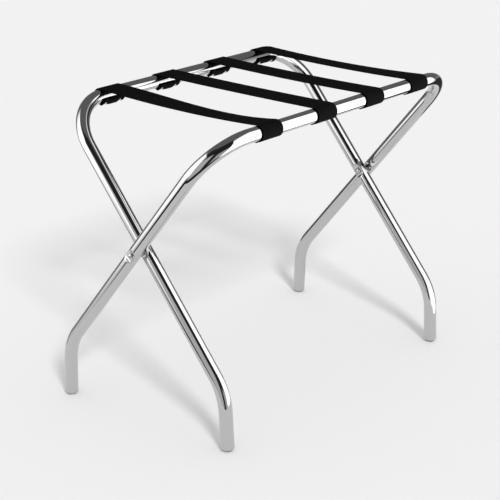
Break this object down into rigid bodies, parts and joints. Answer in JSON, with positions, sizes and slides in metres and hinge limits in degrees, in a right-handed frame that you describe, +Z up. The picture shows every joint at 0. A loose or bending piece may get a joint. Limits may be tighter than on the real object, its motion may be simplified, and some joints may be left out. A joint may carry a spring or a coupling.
{
  "type": "folding luggage rack",
  "caption": "Folding luggage stand: two crossed bent-tube frames riveted as an X, with webbing straps from rail to rail that carry a suitcase.",
  "frame": {"origin": "on the floor under the middle of the open rack", "axes": "+Z up, +Y along the rails towards the back crossing, +X along the straps towards the outer frame's rail"},
  "size_m": [0.3664, 0.6188, 0.5083],
  "materials": {
    "chrome_tube": "bright chrome plate on bent steel tube",
    "rivet_steel": "bright nickel-plated rivets and sleeves",
    "webbing": "black woven nylon webbing",
    "glide_plastic": "grey moulded plastic"
  },
  "bodies": {
    "outer_body": {"outer_frame": "chrome_tube", "outer_front_glide": "glide_plastic", "outer_back_glide": "glide_plastic", "front_pivot_rivet": "rivet_steel", "back_pivot_rivet": "rivet_steel", "front_pivot_spacer": "rivet_steel", "back_pivot_spacer": "rivet_steel", "strap_1": "webbing", "strap_2": "webbing", "strap_3": "webbing", "strap_4": "webbing", "strap_1_outer_rivet_a": "rivet_steel", "strap_1_outer_rivet_b": "rivet_steel", "strap_2_outer_rivet_a": "rivet_steel", "strap_2_outer_rivet_b": "rivet_steel", "strap_3_outer_rivet_a": "rivet_steel", "strap_3_outer_rivet_b": "rivet_steel", "strap_4_outer_rivet_a": "rivet_steel", "strap_4_outer_rivet_b": "rivet_steel"},
    "inner_body": {"inner_frame": "chrome_tube", "inner_front_glide": "glide_plastic", "inner_back_glide": "glide_plastic", "strap_1_inner_rivet_a": "rivet_steel", "strap_1_inner_rivet_b": "rivet_steel", "strap_2_inner_rivet_a": "rivet_steel", "strap_2_inner_rivet_b": "rivet_steel", "strap_3_inner_rivet_a": "rivet_steel", "strap_3_inner_rivet_b": "rivet_steel", "strap_4_inner_rivet_a": "rivet_steel", "strap_4_inner_rivet_b": "rivet_steel"}
  },
  "joints": [
    {"name": "fold", "type": "hinge", "parent": "outer_body", "child": "inner_body", "pos_m": [0, 0, 0.291], "axis": [0, 1, 0], "range_deg": [0, 71.8], "deforming": ["strap_1", "strap_2", "strap_3", "strap_4"]}
  ]
}
